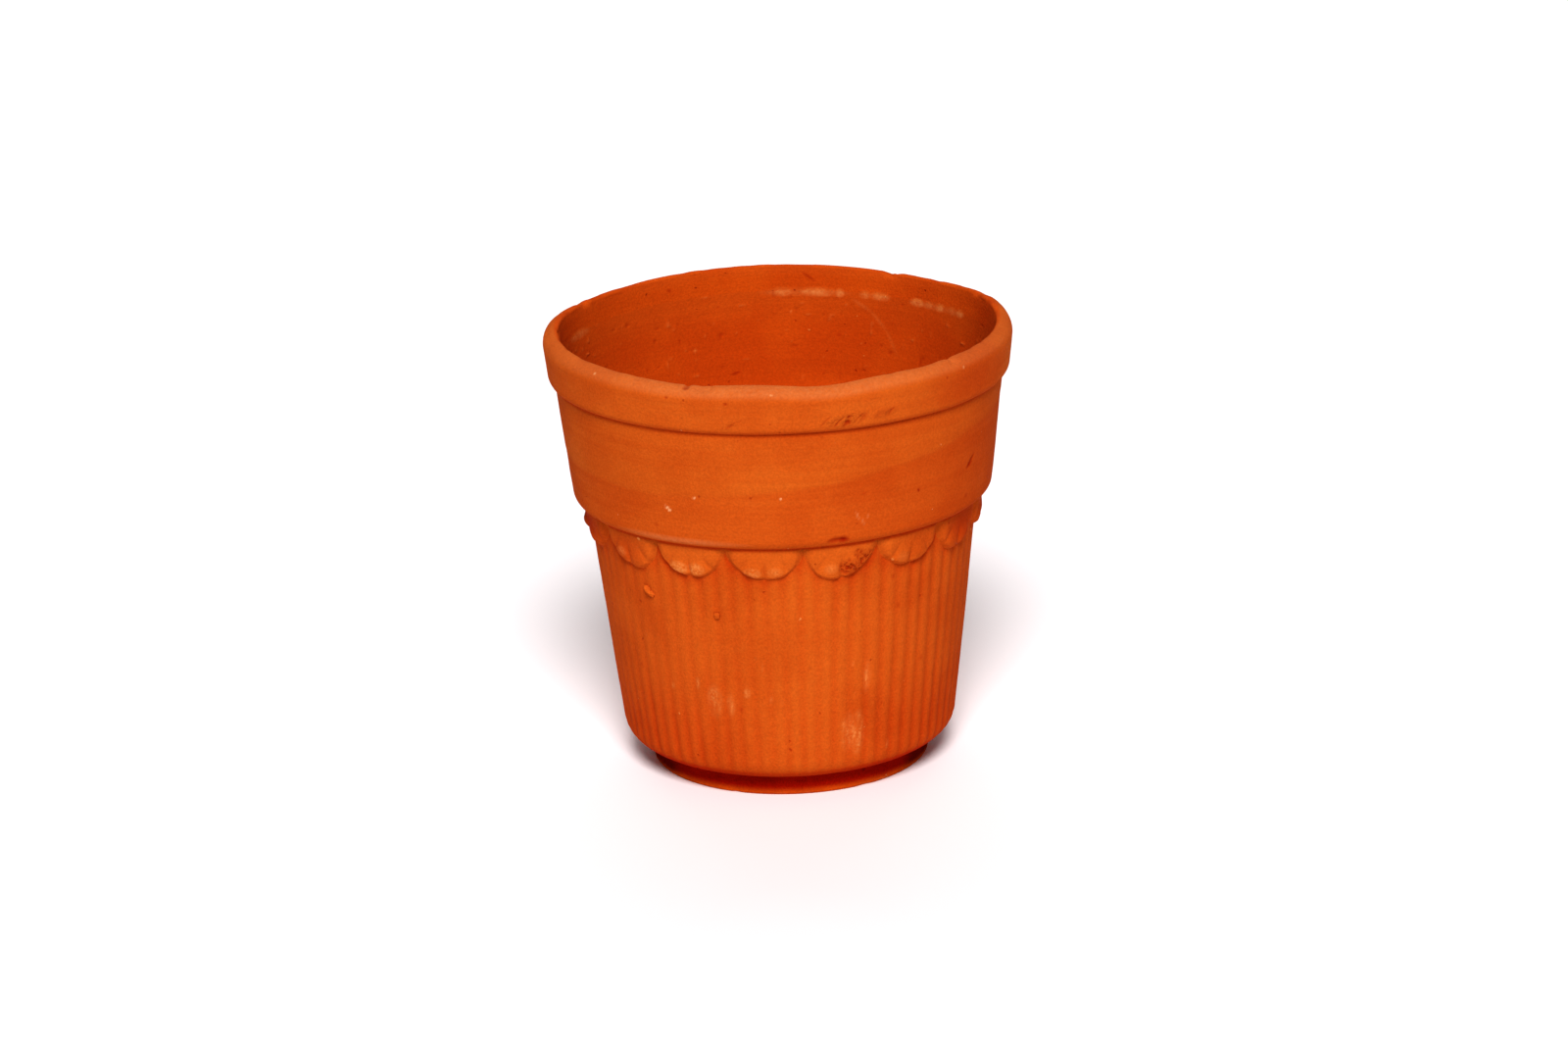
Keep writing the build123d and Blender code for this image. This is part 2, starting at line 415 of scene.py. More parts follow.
def makeRaggedMark():
    # Breaks the edge of a painted mark, as dry powder or a bruise on clay does
    given = {"Mark": 0.0, "Tooth Size": 0.9, "Bite": 0.8}
    tree, entry, result = newGroup("raggedMark", given, {"Mark": "NodeSocketFloat"})
    point = clayPoint(tree)
    tooth = noiseNode(tree, point, perSize(tree, entry["Tooth Size"]), 3.0, 0.6)
    shifted = maths(tree, "MULTIPLY", maths(tree, "SUBTRACT", tooth, 0.5), entry["Bite"])
    present = stretch(tree, entry["Mark"], 0.02, 0.3)
    bitten = maths(tree, "MULTIPLY_ADD", shifted, present, entry["Mark"], True)
    tree.links.new(bitten, result["Mark"])
    return tree


firedMottle, clayGrain, wheelMarks = makeFiredMottle(), makeClayGrain(), makeWheelMarks()
raggedMark = makeRaggedMark()


def placeGroup(tree, group, values):
    return addNode(tree, "ShaderNodeGroup", values, node_tree=group).outputs


def clayMaterial(name, look):
    material = bpy.data.materials.new(name)
    material.use_nodes = True
    tree = material.node_tree
    shader = tree.nodes["Principled BSDF"]
    mask = {}
    for label in maskNames:
        mask[label] = addNode(tree, "ShaderNodeAttribute", attribute_name=label).outputs["Fac"]
    colour = placeGroup(tree, firedMottle, look["mottle"])["Color"]
    grain = placeGroup(tree, clayGrain, look["grain"])
    lines = placeGroup(tree, wheelMarks, {"Spacing": look["wheelSpacing"]})["Lines"]

    # Painted shade and red reflected light inside, tone of sand and wheel lines, then painted shade
    # and grime in grooves and creases
    tinted = mixColour(tree, 1.0, colour, look["insideTint"], "MULTIPLY")
    colour = mixColour(tree, mask["inside"], colour, tinted)
    sanded = stretch(tree, grain["Sand"], 0.28, 0.72, 1 - look["sandTone"], 1 + look["sandTone"])
    colour = mixColour(tree, 1.0, colour, sanded, "MULTIPLY")
    lined = stretch(tree, lines, 0.35, 0.65, 0.0, look["wheelTone"])
    colour = mixColour(tree, lined, colour, look["mottle"]["Deep"])
    grimeAndShade = maths(tree, "MULTIPLY", mask["groove"], look["grooveTone"])
    shaded = mixColour(tree, 1.0, colour, look["grooveTint"], "MULTIPLY")
    colour = mixColour(tree, grimeAndShade, colour, shaded)

    # Pale powder, painted highlights and grains, then dark stains, painted shade and pits
    powder = placeGroup(tree, raggedMark, {"Mark": mask["powder"], **look["powderEdge"]})["Mark"]
    pale = maths(tree, "MULTIPLY_ADD", grain["Grains"], look["grainTone"], powder, True)
    powderColour = mixColour(tree, mask["inside"], look["powderColour"], look["insidePowder"])
    colour = mixColour(tree, pale, colour, powderColour)
    stain = placeGroup(tree, raggedMark, {"Mark": mask["stain"], **look["stainEdge"]})["Mark"]
    dark = maths(tree, "MULTIPLY_ADD", grain["Pits"], look["pitTone"], stain, True)
    tree.links.new(mixColour(tree, dark, colour, look["stainColour"]), shader.inputs["Base Color"])

    # Dry surface with sand and wheel lines in relief, rougher where it is raw
    low, high = look["roughness"]
    tree.links.new(stretch(tree, lines, 0.2, 0.8, low, high), shader.inputs["Roughness"])
    shader.inputs["Specular IOR Level"].default_value = look["specular"]
    rough = maths(tree, "MULTIPLY_ADD", mask["raw"], look["rawGrain"], 1.0)
    height = maths(tree, "MULTIPLY", grain["Height"], rough)
    height = maths(tree, "MULTIPLY_ADD", lines, look["wheelHeight"], height)
    inputs = {"Height": height, "Strength": look["bump"], "Distance": look["bumpDepth"] * mm}
    tree.links.new(addNode(tree, "ShaderNodeBump", inputs).outputs[0], shader.inputs["Normal"])
    return material


# What every clay look shares; a piece's own look changes some of it

clayLook = {
    "mottle": {
        "Body": (0.545, 0.106, 0.0118, 1), "Deep": (0.40, 0.046, 0.003, 1),
        "Pale": (0.61, 0.15, 0.022, 1), "Cloud Size": 16.0, "Blotch Size": 2.5, "Strength": 0.32,
    },
    "grain": {"Grain Size": 0.5, "Pit Size": 2.2, "Pit Share": 0.2, "Grain Share": 0.07},
    "sandTone": 0.11,
    # painted shade and red reflected light inside the cup
    "insideTint": (0.98, 0.65, 0.38, 1),
    "wheelSpacing": 1.3, "wheelTone": 0.16, "wheelHeight": 0.4,
    # painted shade and grime where the groove mask is set
    "grooveTone": 0.34, "grooveTint": (0.78, 0.22, 0.06, 1),
    "powderColour": (0.80, 0.33, 0.13, 1), "insidePowder": (0.86, 0.33, 0.08, 1), "grainTone": 0.5,
    "powderEdge": {"Tooth Size": 0.9, "Bite": 0.9},
    "stainColour": (0.29, 0.013, 0.001, 1), "pitTone": 0.5,
    "stainEdge": {"Tooth Size": 0.5, "Bite": 0.7},
    "roughness": (0.83, 0.93), "specular": 0.02,
    "bump": 0.6, "bumpDepth": 0.25, "rawGrain": 3.0,
}


def lookWith(**changes):
    return {**clayLook, **changes}


# Foot ring

foot = {
    "columns": 600,
    "bore": 21.0,
    "edgeRound": 0.7,
    "nicks": (                # turn, height, half width, half height, push, tilt
        (-24, 0.5, 1.6, 0.9, -0.25), (31, 0.4, 2.2, 0.8, -0.25), (96, 0.5, 2.6, 1.0, -0.35),
        (171, 0.4, 1.8, 0.9, -0.3), (248, 0.6, 2.4, 1.0, -0.35),
    ),
    "gritHeight": 0.08,
    "shadowFrom": 0.2,           # height of the lower edge that keeps its own colour; above it the heel's shadow is painted on
    "footSideShade": 0.85,             # strength of the painted shade at the two sides
    "footSideShadeFrom": 0.76,         # where it starts, from 0 at the front to 1 at a side
    "scuff": 0.16,            # pale rubbing on the face that it stands on
    "look": lookWith(
        mottle={
            "Body": (0.56, 0.09, 0.007, 1), "Deep": (0.36, 0.03, 0.002, 1),
            "Pale": (0.62, 0.13, 0.015, 1), "Cloud Size": 12.0, "Blotch Size": 2.2, "Strength": 0.4,
        },
        wheelSpacing=1.1, wheelTone=0.15, wheelHeight=0.5, specular=0.0,
        # the painted shadow of the heel and the shade at the sides take these darker colours
        grooveTone=1.0, grooveTint=(0.58, 0.09, 0.05, 1), stainColour=(0.1, 0.004, 0.001, 1),
    ),
}


def makeFootRing():
    edge = foot["edgeRound"]
    run = joinRuns(
        straightRun((foot["bore"], footTop), (foot["bore"], edge), 8),
        arcRun((foot["bore"] + edge, edge), edge, 180, 270, 5),
        straightRun((foot["bore"] + edge, 0), (footReach - edge, 0), 16),
        arcRun((footReach - edge, edge), edge, 270, 360, 6),
        straightRun((footReach, edge), (footReach, footTop), 12),
    )
    grid = turnedGrid([(run, 1)], foot["columns"])
    turn, z, masks = grid["turn"], grid["z"], grid["masks"]
    side = ease((z - 0.2) / 0.8)    # the face that it stands on stays flat
    grid["push"] += claySwell(grid) * side
    grid["push"] += foot["gritHeight"] * softNoise(turn, z, 3, 1.2, 21) * side
    pressIn(grid, foot["nicks"], ease((grid["r"] - footReach + 1.6) / 1.4))
    shadowStart = foot["shadowFrom"]
    # Painted shadow of the heel on the foot above its lower edge, and painted shade at the two sides
    masks["groove"] = ease((z - shadowStart) / (0.4 * (footTop - shadowStart)))
    sideways = ease((np.abs(np.sin(turn)) - foot["footSideShadeFrom"]) / 0.12)
    masks["stain"] = foot["footSideShade"] * sideways * ease((z - 0.3) / 1.2)
    scuff = softNoise(turn, grid["r"], 6, 1.5, 22)
    masks["powder"] = np.where(z < 0.6, foot["scuff"] * np.clip(scuff, 0, 1), 0)
    return turnedPiece("footRing", grid, ["foot_ring"], clayMaterial("footClay", foot["look"]))


# Floor of the cup

floorDisc = {
    "columns": 360,
    "boss": 20.95,
    "reach": floorReach + 0.05,
    "firstRing": 0.15,        # radius of the mesh's first ring round the middle
    "ringSpacing": 5.2,       # throwing rings inside
    "ringHeight": 0.16,
    "cutSpacing": 3.1,        # shell curves that a cutting wire leaves underneath
    "cutHeight": 0.12,
    "cutMiddle": (-34, -6),   # point that the curves bend round
    "cutStretch": 1.15,
    "cutSharp": 0.6,
    # darker underneath towards the foot's inner wall
    "rimDarkening": 0.8,
    "look": lookWith(wheelSpacing=2.0, wheelTone=0.1, grooveTone=0.4),
}


def makeFloorDisc():
    tiny = floorDisc["firstRing"]
    under = straightRun((tiny, recess), (floorDisc["boss"], recess), 34)
    joint = np.array([(floorDisc["boss"], footTop), (floorDisc["reach"], footTop)])
    top = straightRun((floorDisc["reach"], floorTop), (tiny, floorTop), 46)
    grid = turnedGrid([(under, 1), (joint, 0), (top, -1)], floorDisc["columns"])
    r, turn, masks = grid["r"], grid["turn"], grid["masks"]
    below, above = grid["skin"] > 0, grid["skin"] < 0
    spiral = r / floorDisc["ringSpacing"] + turn / (2 * math.pi)
    rings = floorDisc["ringHeight"] * np.cos(2 * math.pi * spiral) * ease(r / 8)
    rings *= ease((floorDisc["reach"] - r) / 4)
    x, y = r * np.sin(turn), -r * np.cos(turn)
    cutX, cutY = floorDisc["cutMiddle"]
    shell = np.hypot(x - cutX, y * floorDisc["cutStretch"] - cutY) / floorDisc["cutSpacing"]
    cuts = -floorDisc["cutHeight"] * np.abs(np.sin(math.pi * shell)) ** floorDisc["cutSharp"]
    cuts *= ease((floorDisc["boss"] - r) / 1.5)
    grid["push"] = cuts * below + rings * above
    masks["groove"] = floorDisc["rimDarkening"] * ease((r - floorDisc["boss"] + 3) / 3) * below
    material = clayMaterial("floorClay", floorDisc["look"])
    return turnedPiece("floorDisc", grid, ["floor_disc"], material, loop=False)


# Scallops under the shoulder

scallops = {
    "columns": 97,
    "rows": 49,
    "seed": 100,
    "cuspDrop": 2.4,          # shoulder to the cusp between two neighbours
    "droop": 0.6,             # how far the soft clay sagged below its mould's edge
    "gap": 0.04,
    "own": {                  # some sit askew: sideways shift of the lowest point, extra drop
        "scallop_14": (1.5, 0.5), "scallop_16": (0.7, -0.4), "scallop_01": (-1.5, 0.3),
        "scallop_02": (0.0, -0.3), "scallop_03": (-0.8, 0.4),
    },
    "askew": (0.6, 0.25),     # the most that any other one does
    "hubRise": 1.8,           # point above the shoulder that the lobes spread from
    "lobeEdges": (-76, -38, 0, 38, 76),
    "lobeWeight": (0.5, 1.0, 1.0, 0.5),
    "lobeDip": 0.3,           # how far a lobe's end dips below the plain arc
    "notch": (0.16, 0.34, 0.16),    # depth of the grooves between lobes
    "notchHalf": 0.75,
    "plate": (0.7, 1.25),     # height over the wall at the lower edge and at the shoulder
    "bulge": 0.45,            # extra height of a lobe's belly
    "belly": (2.1, 1.8),      # its distance in from the edge, half width
    "edgeRound": 0.9,
    "cuspLoss": 0.7,          # share of the height that is gone at a cusp
    "tucked": 0.25,           # how far the edge starts below the wall's skin
    "sunk": 0.7,              # how far it goes into the wall behind
    "bruises": (              # turn, height, half width, half height
        (18.7, 54.4, 2.7, 2.1), (21.4, 54.8, 1.8, 2.0), (21.6, 57.0, 1.6, 1.2),
        (24.0, 56.4, 1.5, 1.5),
    ),
    "bruiseDepth": 0.2,
    "pitDepth": 0.35,         # of the pits in a bruise
    "powder": (               # paler on some bellies, partly powder and partly a painted highlight: turn, height, half width, half height, strength
        (-32, 54.2, 2.5, 1.7, 0.42), (-26.3, 54.3, 2.3, 1.6, 0.38), (-9.6, 54.2, 2.2, 1.4, 0.3),
        (-54, 54.8, 1.6, 1.3, 0.22), (-45.4, 58.7, 0.5, 0.4, 0.9), (-3, 54.4, 1.9, 1.3, 0.2),
        (13, 54.5, 1.8, 1.3, 0.16), (35.5, 54.6, 1.8, 1.3, 0.1), (127, 54.4, 2, 1.4, 0.22),
        (217, 54.4, 2, 1.4, 0.22),
    ),
    # the marks at -79, 63 and -52 are painted shade at the sides; the one at 142 is a stain
    "stain": (
        (-79, 57.2, 5.0, 2.4, 0.4), (142, 56, 3.0, 2.0, 0.3), (63, 56, 8, 5, 0.18),
        (-52, 55.5, 6, 4, 0.1),
    ),
    "groove": (               # painted shade at the sides, under the collar
        (-82, 56.5, 15, 6, 2.0), (86, 57, 12, 5.5, 1.6), (63, 56.5, 9, 6.5, 1.5),
        (44, 56.5, 6, 5, 0.5), (-51, 56, 7, 5.5, 0.8),
    ),
}


def headingOf(node):
    low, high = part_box(node)
    middle = (low + high) / 2
    return math.atan2(middle.x, -middle.y)


def scallopSizes():
    # Half width, drop and the radius of the lower edge
    half = shoulderReach * math.pi / len(scallopNodes) - scallops["gap"] / 2
    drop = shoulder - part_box(scallopNodes[0])[0].z / mm + scallops["droop"]
    sag = drop - scallops["cuspDrop"]
    return half, drop, (half**2 + sag**2) / (2 * sag)


def scallopEdge(turn, z):
    # Distance in from the nearest scallop's edge, and which way that edge faces
    pitch = 2 * math.pi / len(scallopNodes)
    x = ((turn - headingOf(scallopNodes[0]) + pitch / 2) % pitch - pitch / 2) * shoulderReach
    drop, edgeRadius = scallopSizes()[1:]
    reach = np.hypot(x, shoulder - drop + edgeRadius - z)
    return edgeRadius - reach, x / reach


def shadowSide(turn, facing):
    # Painted shadow on the edges that face away from the front, as a frontal light leaves them
    return np.clip(0.42 + 1.3 * facing * np.sin(turn), 0, 1.2)


def lobeShape(angle, hefts):
    # Rounded swellings between the lobes' edges
    edges = scallops["lobeEdges"]
    total = np.zeros_like(angle)
    for first, last, heft in zip(edges[:-1], edges[1:], hefts):
        place = (angle - (first + last) / 2) / ((last - first) / 2)
        total += heft * np.clip(1 - place**2, 0, 1) ** 0.7
    return total


def makeScallop(node, order, material):
    rng = np.random.default_rng(scallops["seed"] + order)
    half, drop, edgeRadius = scallopSizes()
    shiftMost, extraMost = scallops["askew"]
    loose = (rng.uniform(-shiftMost, shiftMost), rng.uniform(-extraMost, extraMost))
    shift, extra = scallops["own"].get(node, loose)
    hefts = [heft * rng.uniform(0.7, 1.1) for heft in scallops["lobeWeight"]]
    hub, top = shoulder + scallops["hubRise"], shoulder + 0.2

    # Outline, then a grid from its lower edge up to the shoulder
    across = np.linspace(-half, half, scallops["columns"])
    inMiddle = 1 - (across / half) ** 2
    aside = shift * inMiddle
    run = np.sqrt(edgeRadius**2 - (across - aside) ** 2)
    edge = shoulder - drop - extra * inMiddle + edgeRadius - run
    lobed = lobeShape(np.degrees(np.arctan2(across, hub - edge)), hefts)
    edge -= scallops["lobeDip"] * (lobed - 0.6)
    share = np.linspace(0, 1, scallops["rows"])[:, None] ** 1.25    # rows lie closer at the edge
    z = edge[None] + share * (top - edge[None])
    x = np.repeat(across[None], len(z), 0)
    turn = headingOf(node) + x / shoulderReach
    place = {"turn": turn, "z": z, "r": wallRadius(z)}

    # Lobes with notches between them, which fade out towards the cusps and the hub
    fromHub = np.hypot(x, hub - z)
    angle = np.degrees(np.arctan2(x, hub - z))
    inward = (z - edge[None]) * run[None] / edgeRadius
    joined = ease((half - np.abs(x)) / 2.2)
    cusp = np.exp(-(((half - np.abs(x)) / 1.6) ** 2))
    bellyIn, bellyHalf = scallops["belly"]
    belly = lobeShape(angle, hefts) * joined * np.exp(-((inward - bellyIn) / bellyHalf) ** 2)
    spread = ease((fromHub - 4.0) / 3.6)
    notch = np.zeros_like(x)
    for at, depth in zip(scallops["lobeEdges"][1:-1], scallops["notch"]):
        away = fromHub * np.radians(angle - at)
        depth = depth * rng.uniform(0.7, 1.2)
        notch += depth * np.exp(-((away / scallops["notchHalf"]) ** 2)) * spread * joined
    hurt = np.max([hump(markReach(place, *bruise)) ** 0.5 for bruise in scallops["bruises"]], axis=0)
    crumbly = 0.7 * softNoise(turn, z, 0.55, 0.42, 61) + 0.5 * softNoise(turn, z, 1.3, 0.95, 63)
    pitted = ease((crumbly - 0.02) / 0.3) * hurt

    # Height over the wall, rolled down to it at the edge
    plateLow, plateHigh = scallops["plate"]
    height = plateLow + (plateHigh - plateLow) * np.clip((z - shoulder + drop) / drop, 0, 1)
    height = height + scallops["bulge"] * belly - notch
    uneven = 0.05 * softNoise(turn, z, 4, 2.5, 62)
    height += uneven - scallops["bruiseDepth"] * hurt - scallops["pitDepth"] * pitted
    rolled = np.clip(inward / (scallops["edgeRound"] * (1 + 1.2 * cusp)), 0, 1)
    roll = np.sin(math.pi / 2 * rolled)
    tucked = scallops["tucked"]
    r = wallRadius(z) + (-tucked + roll * (height * (1 - scallops["cuspLoss"] * cusp) + tucked))

    # The last two rows of each mask are the hidden back
    masks = {label: np.zeros((len(z) + 2, len(across))) for label in maskNames}
    # Painted shade in the notches between lobes and under the collar, and painted shadow along the
    # edge, strongest where it faces away from the front
    shade = (1 - ease(inward / 1.1)) * (1 - 0.6 * cusp) * shadowSide(turn, (x - aside) / edgeRadius)
    masks["groove"][:-2] = np.maximum(0.8 * notch, 1.8 * ease((z - shoulder + 0.9) / 0.7) + shade)
    masks["raw"][:-2] = 0.4 * hurt
    masks["stain"][:-2] = 0.26 * hurt + 0.5 * pitted
    for label in ("powder", "stain", "groove"):
        for at, level, wide, tall, strength in scallops[label]:
            mark = strength * hump(markReach(place, at, level, wide, tall)) ** 0.5
            masks[label][:-2] = np.maximum(masks[label][:-2], mark)

    back = np.stack([np.full(len(across), top), edge])
    z = np.concatenate([z, back])
    r = np.concatenate([r, wallRadius(back) - scallops["sunk"]])
    turn = np.concatenate([turn, turn[:2]])
    r, z = handShape(turn, r, z)
    points = np.stack([r * np.sin(turn), -r * np.cos(turn), z], 2).reshape(-1, 3)
    rows, columns = r.shape
    faces = gridFaces(rows, columns, False, True)
    faces.append([row * columns for row in range(rows)])
    faces.append([row * columns + columns - 1 for row in reversed(range(rows))])
    return meshPiece(f"scallop{order + 1:02d}", points, faces, masks, [node], material)


# Fluted wall

wall = {
    "heelRound": 5.5,
    "hollowRound": 7.0,
    "tongue": 2.25,           # the collar's joint, in from the outside
    "fluteCount": 70,
    "fluteColumns": 10,       # mesh columns for each flute
    "fluteCrest": 1.75,       # turn of a crest from the front
    "fluteDepth": 0.28,
    "fluteSharp": 1.25,       # higher makes narrower grooves
    "fluteStray": 0.1,        # how far a groove wanders, as a share of a flute
    # painted shade and grime in the flutes' grooves
    "fluteShadeAndDirt": 0.5,
    "wearSwing": 0.35,        # how much the flutes' depth varies
    "worn": (                 # turn, height, half width, half height, share rubbed away
        (-52, 44, 24, 16, 0.75), (-12, 37, 34, 9, 0.55), (-42, 28, 18, 14, 0.5),
        (-2, 25, 40, 8, 0.25), (-72, 34, 15, 26, 0.7), (73, 33, 15, 28, 0.6), (150, 40, 26, 14, 0.25),
        (215, 24, 22, 12, 0.2), (100, 22, 18, 9, 0.2), (255, 45, 20, 8, 0.3),
    ),
    "scratches": (            # turn, height, half width, half height, push, tilt
        (-6.5, 42.5, 4.3, 0.4, -0.14, -52), (112, 36, 5, 0.4, -0.12, 35),
        (238, 30, 4, 0.4, -0.12, -40),
    ),
    "powder": (               # turn, height, half width, half height, strength, tilt
        (-24.7, 23.5, 2.2, 4.4, 0.2), (-19.3, 23, 1.1, 3.0, 0.24), (-13.6, 26, 0.9, 1.4, 0.22),
        (18.8, 16, 1.9, 5.2, 0.2), (22.6, 15.4, 1.9, 5.8, 0.26), (25.6, 28, 0.9, 4.4, 0.26),
        (-30.4, 27.2, 0.6, 1.8, 0.16), (-8.2, 32, 0.4, 0.6, 0.24), (-10.2, 34.5, 0.6, 0.3, 0.26),
        (-5.9, 24.6, 0.5, 1.0, 0.18), (-2.5, 24, 0.5, 1.2, 0.18), (20.3, 31.4, 0.4, 0.7, 0.24),
        (34.5, 11, 0.8, 0.6, 0.45), (-40.5, 25.5, 0.7, 0.7, 0.2), (140, 22, 1.4, 5, 0.2),
        (171, 30, 1.2, 4, 0.2), (232, 18, 1.4, 5, 0.2), (260, 36, 1.0, 3, 0.18),
    ),
    "stains": (
        (6.3, 32, 0.7, 0.5, 0.5), (-16, 22, 0.5, 0.6, 0.4), (33.5, 50, 0.6, 0.9, 0.4),
        (36, 43, 0.5, 0.9, 0.35), (47, 29, 0.9, 0.7, 0.35), (-55, 28, 0.9, 0.5, 0.3),
        (5.5, 57.7, 0.5, 0.4, 0.7), (120, 44, 0.7, 0.6, 0.5), (200, 40, 0.8, 0.5, 0.5),
    ),
    # painted shade under the collar at the two sides
    "shadowsUnderCollar": ((-82, 55, 15, 7, 1.8), (86, 56, 12, 7, 1.2)),
    "heelShade": 1.6,         # strength of the painted shade in the heel's crease and elsewhere
    # painted shade in the crease under the collar
    "shoulderShade": 1.8,
    "scallopShade": (0.4, 0.85),    # painted shade all round a scallop, and painted shadow close to its edge
    "sideShade": (0.4, 0.55),       # painted shade over the sides, and more of it low down
    # painted shade low down all round
    "lowShade": 0.2,
    # painted shadow just above the foot, under the heel
    "heelShadow": 0.4,
    "look": lookWith(
        wheelSpacing=1.2, wheelTone=0.06, wheelHeight=0.12, grooveTone=0.37,
        powderColour=(0.80, 0.31, 0.09, 1), powderEdge={"Tooth Size": 0.6, "Bite": 1.7},
    ),
}


def wallShade(turn, z):
    # Painted shade in the creases, round the scallops, at the sides and low down
    paintedShade = wall["heelShade"] * ease((footTop + 2.8 - z) / 1.4)
    paintedShade += wall["shoulderShade"] * ease((z - shoulder + 1.0) / 0.8)
    rim, facing = scallopEdge(turn, z)
    around, close = wall["scallopShade"]
    paintedShade += around * ease(1 + rim / 3.5) + close * ease(1 + rim / 1.6) * shadowSide(turn, facing)
    sideways = ease(np.abs(np.sin(turn)) / 0.8)
    over, more = wall["sideShade"]
    paintedShade += sideways * (over + more * ease((32 - z) / 20)) + wall["lowShade"] * ease((34 - z) / 22)
    return paintedShade


def makeFlutedWall(material):
    lean = math.radians(cup["wallLean"])
    heel, hollow = wall["heelRound"], wall["hollowRound"]
    heelEnd = footTop + heel * (1 - math.sin(lean))
    ornament = shoulder - scallopSizes()[1] - 2
    hollowEnd = floorTop + hollow * (1 - math.sin(lean))
    heelMiddle = (wallRadius(heelEnd) - heel * math.cos(lean), footTop + heel)
    hollowMiddle = (wallInside(hollowEnd) - hollow * math.cos(lean), floorTop + hollow)
    outside = joinRuns(
        arcRun(heelMiddle, heel, -90, -cup["wallLean"], 16),
        straightRun((wallRadius(heelEnd), heelEnd), (wallRadius(ornament), ornament), 46),
        straightRun((wallRadius(ornament), ornament), (shoulderReach, shoulder), 32),
    )
    tongue = shoulderReach - wall["tongue"]
    joint = np.array([(tongue, shoulder), (tongue, wallTop)])
    inside = joinRuns(
        straightRun((wallInside(wallTop), wallTop), (wallInside(hollowEnd), hollowEnd), 20),
        arcRun(hollowMiddle, hollow, -cup["wallLean"], -90, 9),
        straightRun((hollowMiddle[0], floorTop), (floorDisc["reach"], floorTop), 3),
    )
    bore = np.array([(floorDisc["reach"], footTop)])
    runs = [(outside, 1), (joint, 0), (inside, -1), (bore, 0)]
    grid = turnedGrid(runs, wall["fluteCount"] * wall["fluteColumns"])
    turn, z, masks = grid["turn"], grid["z"], grid["masks"]
    outer = grid["skin"] > 0
    grid["push"] += claySwell(grid) * (grid["skin"] != 0)

    # Flutes, worn unevenly and run out above the heel
    phase = (turn - math.radians(wall["fluteCrest"])) * wall["fluteCount"] / (2 * math.pi)
    phase = phase + wall["fluteStray"] * softNoise(turn, z, 8, 16, 31)
    groove = (0.5 - 0.5 * np.cos(2 * math.pi * phase)) ** wall["fluteSharp"]
    wear = 0.85 + wall["wearSwing"] * softNoise(turn, z, 5.2, 24, 32) + 0.2 * ease((z - 40) / 9)
    wear = np.clip(wear, 0.3, 1.25)
    for at, level, across, up, share in wall["worn"]:
        wear *= 1 - share * hump(markReach(grid, at, level, across, up))
    fade = ease((z - footTop - 0.6) / 3.5) * outer
    grid["push"] -= wall["fluteDepth"] * groove * wear * fade
    pressIn(grid, wall["scratches"], outer)

    # Painted shade and grime in the flutes' grooves, plus painted shade in the creases, round the
    # scallops, at the sides and low down
    masks["groove"] = wall["fluteShadeAndDirt"] * groove * wear * fade + wallShade(turn, z) * outer
    paintMarks(grid, "groove", wall["shadowsUnderCollar"], outer)
    paintMarks(grid, "powder", wall["powder"], outer)
    streaks = np.clip(0.75 + softNoise(turn, z, 0.9, 2.2, 33), 0.2, 1.3)
    masks["powder"] *= streaks
    # Painted shadow under the heel, just above the foot
    masks["stain"] = wall["heelShadow"] * ease((footTop + 1.5 - z) / 1.2) * outer
    paintMarks(grid, "stain", wall["stains"], outer)
    return turnedPiece("flutedWall", grid, ["fluted_wall"], material)


# Crumbs and smears of clay that fired on

crumbs = {
    "rings": 11,
    "around": 22,
    "seed": 200,
    "sunk": 0.4,              # how far a crumb goes into the wall
    "lumps": (                # turn, height, half length, half width, rise, tilt, stain
        (-45.7, 46.8, 1.9, 0.65, 0.95, -38, 0.0), (-21.6, 43.7, 0.8, 0.75, 0.5, 0, 0.0),
        (128, 30, 1.4, 0.7, 0.5, 20, 0.0), (203, 36, 0.8, 0.6, 0.45, 60, 0.0),
        (248, 51, 1.5, 0.6, 0.5, -25, 0.0), (-85, 55.4, 1.3, 2.2, 1.5, 0, 0.5),
    ),
}


def makeCrumbs(material):
    rings, around = crumbs["rings"], crumbs["around"]
    tip = np.linspace(0.04, math.pi - 0.04, rings)[:, None]
    spin = np.linspace(0, 2 * math.pi, around, endpoint=False)[None]
    quads = np.array(gridFaces(rings, around, True, False))[:, ::-1]
    points, faces, stains = [], [], []
    for index, (turn, z, length, width, rise, tilt, stain) in enumerate(crumbs["lumps"]):
        rng = np.random.default_rng(crumbs["seed"] + index)
        knobs = 0
        for waves in (2, 3, 4, 5):
            knobs = knobs + rng.uniform(0.03, 0.1) * np.sin(waves * spin + rng.uniform(0, 6) + tip)
        across = length * np.sin(tip) * np.cos(spin) * (1 + knobs)
        up = width * np.sin(tip) * np.sin(spin) * (1 + knobs)
        thick = np.where(tip < math.pi / 2, rise, crumbs["sunk"])
        out = thick * np.cos(tip) * (1 + 0.1 * np.sin(3 * spin + index))
        c, s = math.cos(math.radians(tilt)), math.sin(math.radians(tilt))
        level = z + across * s + up * c
        radius = wallRadius(level) + out
        heading = math.radians(turn) + (across * c - up * s) / wallRadius(z)
        radius, level = handShape(heading, radius, level)
        lump = np.stack([radius * np.sin(heading), -radius * np.cos(heading), level], 2)
        points.append(lump.reshape(-1, 3))
        stains.append(np.full(rings * around, stain))
        first = index * rings * around
        faces += (first + quads).tolist()
        faces.append([first + column for column in range(around)])
        faces.append([first + (rings - 1) * around + column for column in reversed(range(around))])
    stain = np.concatenate(stains)
    masks = {label: stain * (label == "stain") for label in maskNames}
    return meshPiece("clayCrumbs", np.concatenate(points), faces, masks, [], material)


# Collar

